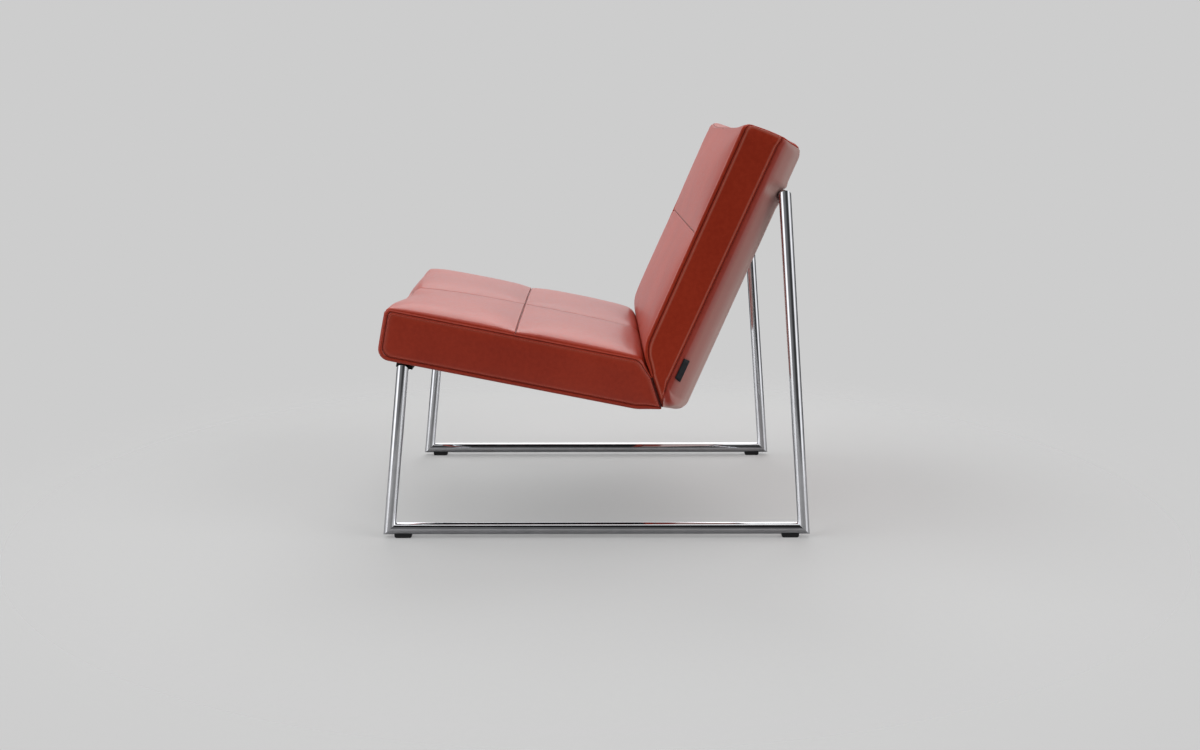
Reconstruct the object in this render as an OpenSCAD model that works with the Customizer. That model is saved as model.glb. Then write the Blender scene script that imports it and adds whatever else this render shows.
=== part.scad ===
/* [Base frame] */
// Outer diameter of the chromed steel tube
tube_d = 22; // [18:1:26]
// Wall of the tube
tube_wall = 2; // [1.5:0.5:3]
// Distance of a side frame's centre plane in from the cushions' side panels
frame_in = 16; // [8:1:30]
// Angle by which the front legs lean back from upright
front_lean = 6.2; // [0:0.1:9]
// Angle by which the rear legs lean forward from upright
rear_lean = 4.8; // [2:0.1:8]
// Height of the front crossbar's centre above the floor
front_bar_h = 315; // [280:1:350]
// Distance of the front crossbar's centre behind the seat's front face, along the seat
front_bar_in = 48.4; // [40:0.2:70]
// Distance of the rear crossbar's centre below the back's top, along the back
rear_bar_drop = 88.2; // [75:0.2:120]
// Distance of the rear crossbar's centre behind the rear face
rear_bar_out = 2.7; // [1:0.1:6]

/* [Glides] */
// Length of a glide along the runner
glide_l = 32; // [20:1:50]
// Width of a glide
glide_w = 14; // [8:1:18]
// Height of a glide below the tube
glide_h = 5.5; // [3:0.5:10]
// Radius of a glide's lower ends
glide_round = 4; // [1:0.5:5]
// Distance of a glide's middle from the runner's corner
glide_inset = 25; // [22:1:80]
// Diameter of a glide's stem
stem_d = 5; // [3:0.5:8]
// Length of the stem inside the tube, past its wall
stem_l = 4; // [2:0.5:8]

/* [Seat] */
// Width of the seat and back over their side panels
cushion_w = 632; // [560:2:700]
// Angle by which the seat rises towards the front
seat_pitch = 11.3; // [9:0.1:14]
// Length of the seat from its front face to the corner with the back
seat_l = 457; // [430:1:490]
// Thickness of the seat between its top seam and its underside
seat_t = 93; // [80:1:110]
// Distance of the seat's cross seam from the corner
seat_seam = 221; // [180:1:270]
// Rise of the seat's crowned panels above the seams
seat_crown = 21; // [5:1:28]
// Radius of the nose's upper edge
nose_top_r = 9; // [6:1:14]
// Radius of the nose's lower edge
nose_low_r = 20; // [10:1:30]

/* [Back] */
// Angle by which the back leans from upright
back_rake = 24; // [20:0.5:28]
// Height of the back, measured along it from the corner
back_h = 456; // [430:1:490]
// Depth of the back's side panel, from its front seam to its rear seam
side_t = 70; // [60:1:76]
// Thickness of the whole back, over its rear cover
back_t = 119; // [105:1:130]
// Width of the bevel that runs from the rear seam to the rear face
bevel_w = 46; // [38:1:60]
// Height of the back's cross seam along the back
back_seam = 245; // [200:1:300]
// Rise of the back's crowned panels ahead of the seams
back_crown = 12; // [4:1:18]
// Radius of the back's upper edges
back_top_r = 20; // [12:1:26]
// Distance of the heel, the seam below the crease, behind the corner of seat and back
heel_out = 47; // [38:1:56]
// Length of the level stretch of the underside ahead of the heel
heel_flat = 46; // [38:1:60]

/* [Leather] */
// Thickness of the leather with its backing
leather_t = 2; // [1.5:0.5:3]
// Rise of the seam where four panels meet, above the side seams
seam_rise = 7; // [2:1:12]

/* [Inner frame] */
// Thickness of a plywood side panel
panel_t = 18; // [12:1:24]
// Height of the side panels and rails, from the seat's underside or the rear face
panel_h = 38; // [34:1:44]
// Distance of the inner frame from the seat's front face and the back's top
frame_inset = 18; // [14:1:24]
// Width of the seat's front rail and of the back's fixing rail
rail_w = 60; // [40:1:66]
// Width of the back's top rail and of the heel rail
slim_rail_w = 42; // [30:1:50]
// Thickness of the rear board
board_t = 4; // [3:0.5:6]

/* [Webbing] */
// Width of an elastic strap
strap_w = 60; // [40:1:70]
// Thickness of a strap
strap_t = 2; // [1:0.5:3]
// Number of straps across the seat
seat_straps = 5; // [2:1:5]
// Number of straps across the back
back_straps = 4; // [2:1:4]

/* [Fixings] */
// Diameter of a fixing bolt
bolt_d = 6; // [5:1:8]
// Diameter of a bolt's head
bolt_head_d = 11; // [10:1:14]
// Height of a bolt's head
bolt_head_h = 3; // [2:0.5:5]
// Distance of the bolts in from the plywood side panels
bolt_in = 45; // [20:1:120]
// Outer diameter of an insert nut
insert_d = 10; // [9:0.5:13]
// Length of an insert nut
insert_l = 14; // [8:1:18]
// Length of a saddle along the front crossbar
saddle_l = 46; // [30:1:70]
// Width of a saddle across the front crossbar
saddle_w = 30; // [26:1:40]
// Distance of a saddle's middle from the side frame
saddle_inset = 40; // [34:1:80]
// Thickness of a saddle between the front crossbar and the seat
saddle_t = 2.6; // [1.5:0.1:6]

/* [Tab] */
// Length of the woven tab along the rear seam
tab_l = 36; // [20:1:50]
// Width of the woven tab
tab_w = 7; // [4:1:9]
// Thickness of the woven tab
tab_t = 1; // [0.5:0.1:1.5]
// Height of the tab's middle along the back
tab_h = 14; // [0:1:60]

/* [Hidden] */
$fn = 48;
// Overrun of every cut past the face it opens
overrun = 1;
// Clearance between soft or loose neighbours
gap = 0.3;
// Radial clearance of a bolt or stem in its hole
hole_clearance = 0.2;
// Clearance between the rear crossbar and the leather that lies round it
groove_clearance = 1;
// Bulge of the nose ahead of the seams
nose_bulge = 3;
// How far the underside's front edge lies behind the nose
nose_back = 36;
// Radius of the seat's upper edge at the crease
crease_r = 25;
// Place where the crease ends and the heel's mitre seam begins, from the corner
crease_drop = 36.5;
crease_back = 28;
// Height at which the back's front panel curves away to the crease
back_foot = 50;
// Least half angle over which the rear cover follows the crossbar's groove
groove_turn = 20;

tube_r = tube_d / 2;
runner_z = glide_h + tube_r;
half_w = cushion_w / 2;
half_frame = half_w - frame_in;
front_dir = [0, sin(front_lean), cos(front_lean)];
rear_dir = [0, -sin(rear_lean), cos(rear_lean)];
// Crossbars, along and above the seat, and behind and up the back
front_bar = [-seat_l + front_bar_in, -seat_t - saddle_t - tube_r];
rear_bar = [back_t + rear_bar_out, back_h - rear_bar_drop];
// From the front crossbar to the corner of seat and back, and from there to the rear crossbar
corner_step = [
    -front_bar[0] * cos(seat_pitch) - front_bar[1] * sin(seat_pitch),
    front_bar[0] * sin(seat_pitch) - front_bar[1] * cos(seat_pitch)
];
rear_step = [
    rear_bar[0] * cos(back_rake) + rear_bar[1] * sin(back_rake),
    -rear_bar[0] * sin(back_rake) + rear_bar[1] * cos(back_rake)
];
corner_h = front_bar_h + corner_step[1];
rear_bar_h = corner_h + rear_step[1];
// The runner reaches from the front legs' feet to the rear legs' feet
front_step = (front_bar_h - runner_z) * tan(front_lean);
runner_l = front_step + corner_step[0] + rear_step[0] + (rear_bar_h - runner_z) * tan(rear_lean);
front_y = -runner_l / 2;
rear_y = runner_l / 2;
front_bar_y = front_y + front_step;
corner_back = front_bar_y + corner_step[0];
rear_bar_y = corner_back + rear_step[0];

// Side view points: along and above the seat, and behind and up the back
function seat_pt(s, t) = [
    corner_back + s * cos(seat_pitch) + t * sin(seat_pitch),
    corner_h - s * sin(seat_pitch) + t * cos(seat_pitch)
];
function back_pt(n, h) = [
    corner_back + n * cos(back_rake) + h * sin(back_rake),
    corner_h - n * sin(back_rake) + h * cos(back_rake)
];
function in_back(y, z) = [
    (y - corner_back) * cos(back_rake) - (z - corner_h) * sin(back_rake),
    (y - corner_back) * sin(back_rake) + (z - corner_h) * cos(back_rake)
];

// Shares of the bevel's width against shares of its depth
bevel_shares = [[0, 0], [0.12, 0.1], [0.36, 0.42], [0.64, 0.8], [1, 1]];
// Shares of the half width at which the cushions have a section, densest over the bevels
inner_shares = [0.7, 0.5, 0.3, 0.12];
right_shares = concat([for (b = bevel_shares) b[0] * bevel_w / half_w - 1], -inner_shares);
width_shares = concat(right_shares, [0], [for (i = [len(right_shares) - 1 : -1 : 0]) -right_shares[i]]);

module along(v) {
    rotate([0, acos(v[2] / norm(v)), atan2(v[1], v[0])]) children();
}
module beyond() {
    translate([-tube_d * 2, -tube_d * 2, 0]) cube(tube_d * 4);
}
// Tube from a to b, cut by a plane through each end that faces along na and nb
module mitred_tube(a, b, na, nb) {
    run = norm(b - a);
    difference() {
        translate(a) along(b - a) translate([0, 0, -tube_d])
            cylinder(h = run + tube_d * 2, d = tube_d);
        translate(a) along(b - a) translate([0, 0, -tube_d - overrun])
            cylinder(h = run + tube_d * 2 + overrun * 2, d = tube_d - tube_wall * 2);
        translate(a) along(na) beyond();
        translate(b) along(nb) beyond();
    }
}
module in_seat_frame() {
    translate([0, corner_back, corner_h]) rotate([-seat_pitch, 0, 0]) children();
}
module in_back_frame() {
    translate([0, corner_back, corner_h]) rotate([-back_rake, 0, 0]) children();
}

module front_leg(side) {
    foot = [side * half_frame, front_y, runner_z];
    top = [side * half_frame, front_bar_y, front_bar_h];
    color("silver")
        mitred_tube(foot, top, [0, 1, 0] - front_dir, [-side, 0, 0] + front_dir);
}
module rear_leg(side) {
    foot = [side * half_frame, rear_y, runner_z];
    top = [side * half_frame, rear_bar_y, rear_bar_h];
    color("silver")
        mitred_tube(foot, top, [0, -1, 0] - rear_dir, [-side, 0, 0] + rear_dir);
}
module runner(side) {
    color("silver") difference() {
        mitred_tube([side * half_frame, front_y, runner_z], [side * half_frame, rear_y, runner_z],
            front_dir - [0, 1, 0], rear_dir - [0, -1, 0]);
        for (y = [front_y + glide_inset, rear_y - glide_inset])
            translate([side * half_frame, y, glide_h - overrun])
                cylinder(h = tube_wall + overrun * 2, d = stem_d + hole_clearance * 2);
    }
}
module bolt_places() {
    for (side = [-1, 1]) translate([side * (rail_x - bolt_in), 0, 0]) children();
}
// Places the children on a front bolt's axis, with the crossbar's centre at zero
module at_front_bolts() {
    in_seat_frame() translate([0, front_bar[0], front_bar[1]]) bolt_places() children();
}
module at_rear_bolts() {
    in_back_frame() translate([0, rear_bar[0], rear_bar[1]]) bolt_places() rotate([90, 0, 0])
        children();
}
module bolt_hole() {
    translate([0, 0, -tube_d]) cylinder(h = tube_d * 2, d = bolt_d + hole_clearance * 2);
}
module front_crossbar() {
    color("silver") difference() {
        mitred_tube([-half_frame, front_bar_y, front_bar_h], [half_frame, front_bar_y, front_bar_h],
            [-1, 0, 0] + front_dir * -1, [1, 0, 0] + front_dir * -1);
        at_front_bolts() bolt_hole();
    }
}
module rear_crossbar() {
    color("silver") difference() {
        mitred_tube([-half_frame, rear_bar_y, rear_bar_h], [half_frame, rear_bar_y, rear_bar_h],
            [-1, 0, 0] + rear_dir * -1, [1, 0, 0] + rear_dir * -1);
        at_rear_bolts() bolt_hole();
    }
}

module glide(side, y) {
    lip = tube_r - sqrt(pow(tube_r, 2) - pow(glide_w / 2, 2));
    color("#151515") translate([side * half_frame, y, 0]) {
        difference() {
            rotate([90, 0, 90]) translate([0, 0, -glide_w / 2]) linear_extrude(glide_w) union() {
                translate([-glide_l / 2, glide_round]) square([glide_l, glide_h + lip - glide_round]);
                translate([-glide_l / 2 + glide_round, 0])
                    square([glide_l - glide_round * 2, glide_round + overrun]);
                for (end = [-1, 1]) translate([end * (glide_l / 2 - glide_round), glide_round])
                    circle(r = glide_round);
            }
            translate([0, glide_l, runner_z]) rotate([90, 0, 0])
                cylinder(h = glide_l * 2, r = tube_r + hole_clearance / 2);
        }
        translate([0, 0, glide_h / 2]) cylinder(h = glide_h / 2 + tube_wall + stem_l, d = stem_d);
    }
}

module front_saddles() {
    color("#1c1c1c") in_seat_frame() translate([0, front_bar[0], front_bar[1]]) difference() {
        for (side = [-1, 1])
            translate([side * (half_frame - saddle_inset) - saddle_l / 2, -saddle_w / 2, 0])
                cube([saddle_l, saddle_w, tube_r + saddle_t - gap]);
        rotate([0, 90, 0]) translate([0, 0, -cushion_w]) cylinder(h = cushion_w * 2, r = tube_r + gap);
    }
}

// A bolt along z, from its head below the crossbar to its tip in the rail
module bolt(reach) {
    translate([0, 0, -tube_r - bolt_head_h]) cylinder(h = bolt_head_h, d = bolt_head_d);
    translate([0, 0, -tube_r - bolt_head_h / 2])
        cylinder(h = tube_r + bolt_head_h / 2 + reach, d = bolt_d);
}
module insert_nut(start) {
    translate([0, 0, start]) difference() {
        cylinder(h = insert_l, d = insert_d);
        translate([0, 0, -overrun]) cylinder(h = insert_l + overrun * 2, d = bolt_d + hole_clearance * 2);
    }
}
// Distances from a crossbar's centre to the wood behind the leather
front_wood = tube_r + saddle_t + leather_t + gap;
rear_wood = tube_r + groove_clearance + leather_t + gap;
module front_bolts() {
    color("gray") at_front_bolts() bolt(front_wood + insert_l);
}
module rear_bolts() {
    color("gray") at_rear_bolts() bolt(rear_wood + insert_l);
}
module front_insert_nuts() {
    color("darkgray") at_front_bolts() insert_nut(front_wood + gap);
}
module rear_insert_nuts() {
    color("darkgray") at_rear_bolts() insert_nut(rear_wood + gap);
}
module insert_hole() {
    translate([0, 0, -overrun]) cylinder(h = rear_wood + insert_l + bolt_d, d = insert_d + gap * 2);
}

// Inner frame: the wood's limits in the seat's and the back's own frames
wood_low = -seat_t + leather_t + gap;
wood_top = wood_low + panel_h;
wood_front = -seat_l + frame_inset;
wood_rear = back_t - leather_t - gap;
wood_fore = wood_rear - panel_h;
wood_head = back_h - frame_inset;
panel_x = half_w - bevel_w - leather_t - gap;
rail_x = panel_x - panel_t - gap;

// Where the line through p along u meets the line through q along w
function meet(p, u, q, w) = let (
    d = u[0] * w[1] - u[1] * w[0],
    k = ((q[0] - p[0]) * w[1] - (q[1] - p[1]) * w[0]) / d
) p + u * k;
seat_run = [cos(seat_pitch), -sin(seat_pitch)];
back_run = [sin(back_rake), cos(back_rake)];
// The crease's lower end, and the heel where the underside's level stretch ends
crease = [corner_back + crease_back, corner_h - crease_drop];
heel = [
    corner_back + heel_out,
    meet(seat_pt(0, -seat_t), seat_run, [corner_back + heel_out - heel_flat, 0], [0, 1])[1]
];
heel_z = heel[1] + leather_t + gap;

module rear_groove(extra) {
    translate([-cushion_w, rear_bar_y, rear_bar_h]) rotate([0, 90, 0])
        cylinder(h = cushion_w * 2, r = tube_r + groove_clearance + extra);
}
module side_panel(side) {
    outline = [
        seat_pt(wood_front, wood_low),
        meet(seat_pt(0, wood_low), seat_run, [0, heel_z], [1, 0]),
        meet(back_pt(wood_rear - slim_rail_w / 2, 0), back_run, [0, heel_z], [1, 0]),
        back_pt(wood_rear, -slim_rail_w / 2),
        back_pt(wood_rear, wood_head),
        back_pt(wood_fore, wood_head),
        meet(back_pt(wood_fore, 0), back_run, seat_pt(0, wood_top), seat_run),
        seat_pt(wood_front, wood_top)
    ];
    inner = side > 0 ? panel_x - panel_t : -panel_x;
    color("burlywood") difference() {
        translate([inner, 0, 0]) rotate([90, 0, 90]) linear_extrude(panel_t) polygon(outline);
        rear_groove(leather_t + gap);
    }
}
module seat_front_rail() {
    color("tan") difference() {
        in_seat_frame() translate([-rail_x, wood_front, wood_low])
            cube([rail_x * 2, rail_w, panel_h]);
        at_front_bolts() insert_hole();
    }
}
// A rail across the back, from height low to height high
module back_rail(low, high) {
    in_back_frame() translate([-rail_x, wood_fore, low])
        cube([rail_x * 2, wood_rear - wood_fore, high - low]);
}
module heel_rail() {
    color("tan") back_rail(-slim_rail_w / 2, slim_rail_w / 2);
}
module back_fixing_rail() {
    color("tan") difference() {
        back_rail(rear_bar[1] - rail_w / 2, rear_bar[1] + rail_w / 2);
        rear_groove(leather_t + gap);
        at_rear_bolts() insert_hole();
    }
}
module back_top_rail() {
    color("tan") back_rail(wood_head - slim_rail_w / 2, wood_head);
}
module rear_board() {
    low = slim_rail_w / 2 + gap;
    high = rear_bar[1] - rail_w / 2 - gap;
    color("peru") in_back_frame() translate([-rail_x, wood_rear - board_t, low])
        cube([rail_x * 2, board_t, high - low]);
}
// The straps share the length of the seat and of the back evenly
seat_pitch_l = -wood_front / seat_straps;
back_pitch_l = (wood_head - slim_rail_w / 2) / back_straps;
module seat_webbing() {
    color("#3a3a3a") in_seat_frame() for (i = [0 : seat_straps - 1])
        translate([-panel_x, wood_front + (i + 0.5) * seat_pitch_l - strap_w / 2, wood_top + gap])
            cube([panel_x * 2, strap_w, strap_t]);
}
module back_webbing() {
    start = slim_rail_w / 2 - strap_w / 2;
    color("#3a3a3a") in_back_frame() for (i = [0 : back_straps - 1])
        translate([-panel_x, wood_fore - gap - strap_t, start + (i + 0.5) * back_pitch_l])
            cube([panel_x * 2, strap_t, strap_w]);
}

// Points on an arc round c from angle a to angle b, in count steps
function arc(c, r, a, b, count) = [
    for (i = [0 : count]) let (q = a + (b - a) * i / count) c + r * [cos(q), sin(q)]
];
// Fullness across the width: nothing on the seams, one in the middle of a panel
function across(u) = pow(max(0, sin(180 * min(1, abs(u)))), 0.6);
// Fullness along a panel between two seams
function between(p, low, high) = p <= low || p >= high
    ? 0 : pow(sin(180 * (p - low) / (high - low)), 0.45);
function seat_rise(s, u) = let (
    front = -seat_l + nose_top_r, rear = -crease_r / 2,
    full = max(between(s, front, -seat_seam), between(s, -seat_seam, rear)),
    edge = pow(between(s, front, rear), 0.5)
) seat_crown * across(u) * full + seam_rise * (1 - u * u) * edge;
function back_rise(h, u) = let (
    low = back_foot / 2, high = back_h - nose_top_r,
    full = max(between(h, low, back_seam), between(h, back_seam, high)),
    edge = pow(between(h, low, high), 0.5)
) back_crown * across(u) * full + seam_rise / 2 * (1 - u * u) * edge;

seat_step_shares = [0.04, 0.12, 0.24, 0.36, 0.44, 0.5, 0.56, 0.66, 0.78, 0.9];
back_step_shares = [0.05, 0.16, 0.3, 0.42, 0.5, 0.57, 0.68, 0.82, 0.95];
// Side view of the seat's cover at share u of the half width, drawn in by d, from under the
// nose to the crease, with the mitre there moved back by e
function seat_top(u, d, e) = let (
    low_c = [-seat_l + nose_low_r, -seat_t + nose_low_r],
    top_c = [-seat_l + nose_top_r, -nose_top_r],
    nose = -seat_l - nose_bulge * (1 - u * u) + d,
    end = -crease_r / 2
) concat(
    [seat_pt(-seat_l + nose_back, -seat_t + d)],
    [for (p = arc(low_c, nose_low_r - d, -90, -180, 4)) seat_pt(p[0], p[1])],
    [seat_pt(nose, -seat_t * 0.62), seat_pt(nose, -seat_t * 0.32)],
    [for (p = arc(top_c, nose_top_r - d, 180, 90, 3)) seat_pt(p[0], p[1])],
    [for (k = seat_step_shares) let (s = -seat_l + nose_top_r + (seat_l - nose_top_r + end) * k)
        seat_pt(s, seat_rise(s, u) - d)],
    [for (p = arc([end + crease_r * 0.4, -crease_r], crease_r - d, 90, 5, 3)) seat_pt(p[0], p[1])],
    [crease + [e, -d]]
);
// The same along the underside, from the heel to below the nose
function seat_low(d, e) = [
    heel + [e, d],
    meet(seat_pt(0, -seat_t + d), seat_run, heel + [0, d], [1, 0]),
    seat_pt((-seat_l + nose_back) / 2, -seat_t + d)
];

// Point at share k of the curve from a to c that heads for b
function bend(a, b, c, k) = a * pow(1 - k, 2) + b * 2 * k * (1 - k) + c * pow(k, 2);
function bevel_full(u) = lookup((1 - abs(u)) * half_w / bevel_w, bevel_shares);
function rear_round(u) = nose_top_r + (back_top_r - nose_top_r) * bevel_full(u);
function back_deep(u, d) = side_t + (back_t - side_t) * bevel_full(u) - d;
// Side view of the back's front cover, from the crease over the top to the rear panel
function back_front(u, d, e) = let (
    deep = back_deep(u, d),
    rear_r = rear_round(u) - d,
    top_r = nose_top_r,
    foot = in_back(crease[0] + e, crease[1] - d)
) concat(
    [for (k = [0, 0.34, 0.67, 1])
        let (p = bend(foot, back_foot * [0.08, 0.36] + [d, 0], [d, back_foot], k)) back_pt(p[0], p[1])],
    [for (k = back_step_shares) let (h = back_foot + (back_h - top_r - back_foot) * k)
        back_pt(d - back_rise(h, u), h)],
    [for (p = arc([top_r, back_h - top_r], top_r - d, 180, 90, 3)) back_pt(p[0], p[1])],
    [back_pt(deep / 2, back_h - d)],
    [for (p = arc([deep - rear_r, back_h - d - rear_r], rear_r, 90, 0, 3)) back_pt(p[0], p[1])]
);
// Side view of the rear cover, from below the top's round, into the crossbar's groove and
// out again, down to the heel
function back_rear(u, d, e) = let (
    deep = back_deep(u, d),
    start = back_h - rear_round(u),
    r = tube_r + groove_clearance + d,
    half = max(acos(min(1, (rear_bar[0] - deep) / r)), groove_turn),
    low = in_back(heel[0] + e, heel[1] + d),
    turn = low + max(0, deep - low[0]) * [1, tan(back_rake)],
    low_start = -back_foot / 2,
    rest = rear_bar[1] - r * 2 - low_start
) concat(
    [back_pt(deep, start), back_pt(deep, (start + rear_bar[1] + r) / 2)],
    [for (k = [1, 0.67, 0.34, 0, -0.34, -0.67, -1]) back_pt(
        min(deep, rear_bar[0] - r * cos(half * k)), rear_bar[1] + r * sin(half * k))],
    [for (k = [0.98, 0.66, 0.33]) back_pt(deep, low_start + rest * k)],
    [for (k = [0, 0.34, 0.67, 1]) let (p = bend([deep, low_start], turn, low, k))
        back_pt(p[0], p[1])]
);

function at_x(x, line) = [for (p = line) [x, p[0], p[1]]];
function backward(line) = [for (i = [len(line) - 1 : -1 : 0]) line[i]];
// Whole side views of the seat and of the back, their shared ends taken once
function seat_round(u, d, e) = concat(seat_low(d, e), seat_top(u, d, e));
function back_round(u, d, e) = let (rear = back_rear(u, d, e))
    concat(back_front(u, d, e), [for (i = [1 : len(rear) - 1]) rear[i]]);
// Closed solid through a row of sections with as many points each, pointed at both ends
module loft(rings, first, last) {
    n = len(rings[0]);
    m = len(rings);
    points = concat([for (r = rings) each r], [first, last]);
    faces = concat(
        [for (i = [0 : m - 2], j = [0 : n - 1]) let (a = i * n + j, b = i * n + (j + 1) % n)
            each [[a, b + n, a + n], [a, b, b + n]]],
        [for (j = [0 : n - 1]) [m * n, (j + 1) % n, j]],
        [for (j = [0 : n - 1]) [m * n + 1, (m - 1) * n + j, (m - 1) * n + (j + 1) % n]]
    );
    polyhedron(points, faces);
}
// Sheet of leather between a row of outer lines and a row of inner ones
module sheet(outer, inner) {
    n = len(outer[0]);
    m = len(outer);
    far = n * m;
    // Two triangles for the corners a, b, c and d
    quad = function (a, b, c, d) [[a, b, c], [a, c, d]];
    points = concat([for (r = outer) each r], [for (r = inner) each r]);
    faces = concat(
        [for (i = [0 : m - 2], j = [0 : n - 2]) let (a = i * n + j)
            each concat(quad(a, a + 1, a + n + 1, a + n),
                quad(far + a, far + a + n, far + a + n + 1, far + a + 1))],
        [for (i = [0 : m - 2], j = [0, n - 1]) let (a = i * n + j, b = far + a)
            each j == 0 ? quad(a, a + n, b + n, b) : quad(a, b, b + n, a + n)],
        [for (i = [0, m - 1], j = [0 : n - 2]) let (a = i * n + j, b = far + a)
            each i == 0 ? quad(a, b, b + 1, a + 1) : quad(a, a + 1, b + 1, b)]
    );
    polyhedron(points, faces);
}
// Side panel of leather, flat, with the given outline
module side_leather(side, outline) {
    start = side > 0 ? half_w - leather_t : -half_w;
    translate([start, 0, 0]) rotate([90, 0, 90]) linear_extrude(leather_t) polygon(outline);
}
module foam_form(lines, core) {
    x = half_w - leather_t - gap;
    loft([for (i = [0 : len(lines) - 1]) at_x(width_shares[i] * x, lines[i])],
        [-x, core[0], core[1]], [x, core[0], core[1]]);
}
// Room that the foams leave for the wood and the webbing
module frame_room() {
    x = panel_x + gap;
    low = wood_top + strap_t + gap * 2;
    fore = wood_fore - strap_t - gap * 2;
    in_seat_frame() translate([-x, wood_front - gap, low - seat_l])
        cube([x * 2, seat_l + back_t, seat_l]);
    in_back_frame() translate([-x, fore, wood_head + gap - back_h * 2])
        cube([x * 2, back_t, back_h * 2]);
}
seat_core = seat_pt(-seat_l / 2, -seat_t / 2);
back_core = back_pt(side_t * 0.4, back_foot);

module seat_cover() {
    color("#8f2f22") sheet(
        [for (u = width_shares) at_x(u * half_w, seat_top(u, 0, -gap / 2))],
        [for (u = width_shares) at_x(u * half_w, seat_top(u, leather_t, -gap / 2))]
    );
}
module back_cover() {
    color("#8f2f22") sheet(
        [for (u = width_shares) at_x(u * half_w, back_front(u, 0, gap / 2))],
        [for (u = width_shares) at_x(u * half_w, back_front(u, leather_t, gap / 2))]
    );
}
module rear_cover() {
    color("#86291e") difference() {
        sheet(
            [for (u = width_shares) at_x(u * half_w, back_rear(u, 0, gap / 2))],
            [for (u = width_shares) at_x(u * (half_w - leather_t), back_rear(u, leather_t, gap / 2))]
        );
        at_rear_bolts() bolt_hole();
    }
}
module base_cover() {
    lead = gap;
    line = function (d) concat(seat_low(d, -gap / 2), [seat_pt(-seat_l + nose_back + lead, -seat_t + d)]);
    color("#1d1a19") difference() {
        translate([-half_w, 0, 0]) rotate([90, 0, 90]) linear_extrude(cushion_w)
            polygon(concat(line(0), backward(line(leather_t))));
        at_front_bolts() bolt_hole();
    }
}
inset = leather_t + gap;
module seat_side(side) {
    color("#7f2419") side_leather(side, seat_round(1, inset, -gap / 2));
}
module back_side(side) {
    color("#7f2419") side_leather(side, back_round(1, inset, gap / 2));
}
module seat_foam() {
    color("khaki") difference() {
        foam_form([for (u = width_shares) seat_round(u, inset, -gap)], seat_core);
        frame_room();
    }
}
module back_foam() {
    color("khaki") difference() {
        foam_form([for (u = width_shares) back_round(u, inset, gap)], back_core);
        frame_room();
    }
}
// How far the bevel has come in from the side at depth n
function bevel_in(n) = bevel_w *
    lookup((n - side_t) / (back_t - side_t), [for (b = bevel_shares) [b[1], b[0]]]);
// The tab lies on the bevel, just behind the rear seam
module seam_tab() {
    start = side_t + tab_w;
    slope = atan2(bevel_in(start + tab_w) - bevel_in(start), tab_w);
    color("#141414") in_back_frame()
        translate([half_w - bevel_in(start) + gap, start, tab_h - tab_l / 2])
            rotate([0, 0, slope]) cube([tab_t, tab_w, tab_l]);
}

front_leg(1);  // left_front_leg
front_leg(-1);  // right_front_leg
rear_leg(1);  // left_rear_leg
rear_leg(-1);  // right_rear_leg
runner(1);  // left_runner
runner(-1);  // right_runner
front_crossbar();
rear_crossbar();
glide(1, front_y + glide_inset);  // front_left_glide
glide(-1, front_y + glide_inset);  // front_right_glide
glide(1, rear_y - glide_inset);  // rear_left_glide
glide(-1, rear_y - glide_inset);  // rear_right_glide
front_saddles();
front_bolts();
rear_bolts();
front_insert_nuts();
rear_insert_nuts();
side_panel(1);  // left_side_panel
side_panel(-1);  // right_side_panel
seat_front_rail();
heel_rail();
back_fixing_rail();
back_top_rail();
rear_board();
seat_webbing();
back_webbing();
seat_foam();
back_foam();
seat_cover();
back_cover();
rear_cover();
base_cover();
seat_side(1);  // left_seat_side
seat_side(-1);  // right_seat_side
back_side(1);  // left_back_side
back_side(-1);  // right_back_side
seam_tab();
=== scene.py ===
import math
import bpy
import numpy as np
from mathutils import Matrix, Vector


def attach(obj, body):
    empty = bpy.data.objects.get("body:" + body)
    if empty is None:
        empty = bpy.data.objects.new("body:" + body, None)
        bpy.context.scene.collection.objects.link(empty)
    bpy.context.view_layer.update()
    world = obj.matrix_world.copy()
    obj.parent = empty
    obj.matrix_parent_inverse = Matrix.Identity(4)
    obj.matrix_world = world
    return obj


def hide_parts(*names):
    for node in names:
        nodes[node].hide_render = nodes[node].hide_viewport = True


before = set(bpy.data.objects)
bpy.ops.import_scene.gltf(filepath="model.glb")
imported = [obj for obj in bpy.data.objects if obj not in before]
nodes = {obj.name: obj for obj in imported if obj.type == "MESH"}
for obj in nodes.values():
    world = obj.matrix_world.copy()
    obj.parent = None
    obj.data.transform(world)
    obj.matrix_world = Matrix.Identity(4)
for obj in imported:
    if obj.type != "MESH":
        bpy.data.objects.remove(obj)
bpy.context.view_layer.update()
print("frame loaded")


# camera: solved from the frame's corners in the photo; metres, degrees, millimetres

view = {"place": (2.600, -0.005, 0.760), "pitch": 11.18, "yaw": 0.27, "lens": 38.892}


def setCamera():
    pitch, yaw = math.radians(view["pitch"]), math.radians(view["yaw"])
    ahead = Vector((-math.cos(yaw) * math.cos(pitch), math.sin(yaw) * math.cos(pitch),
                    -math.sin(pitch)))
    right = Vector((math.sin(yaw), math.cos(yaw), 0))
    up = right.cross(ahead)
    lens = bpy.data.cameras.new("camera")
    lens.lens, lens.sensor_width = view["lens"], 36
    lens.clip_start, lens.clip_end = 0.05, 200
    camera = bpy.data.objects.new("camera", lens)
    turn = Matrix((right, up, -ahead)).transposed().to_4x4()
    camera.matrix_world = Matrix.Translation(Vector(view["place"])) @ turn
    bpy.context.scene.collection.objects.link(camera)
    bpy.context.scene.camera = camera


setCamera()
print("camera set")


# materials

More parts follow.
